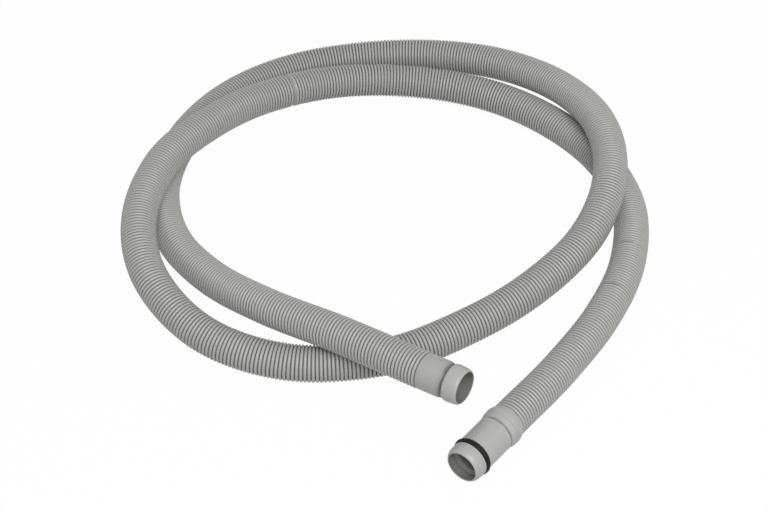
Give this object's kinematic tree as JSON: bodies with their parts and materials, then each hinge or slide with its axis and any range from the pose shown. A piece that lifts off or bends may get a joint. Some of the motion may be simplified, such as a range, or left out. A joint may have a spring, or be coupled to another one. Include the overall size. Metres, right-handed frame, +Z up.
{
  "type": "dishwasher drain hose",
  "caption": "Corrugated plastic drain hose for a dishwasher, open at both ends, with a grooved end for a hose clip and a spigot end with a rubber O-ring, lying in loose turns",
  "frame": {"origin": "on the surface that the hose lies on, under the middle of its bounding box", "axes": "+Z up from the surface, +Y from the two open ends towards the back of the turns, +X to the right of someone who looks along +Y"},
  "size_m": [0.357, 0.4261, 0.0545],
  "materials": {
    "grey_polypropylene": "satin, blow moulded",
    "black_rubber": "matte"
  },
  "bodies": {
    "root": {"drain_hose": "grey_polypropylene", "o_ring": "black_rubber"}
  },
  "joints": []
}
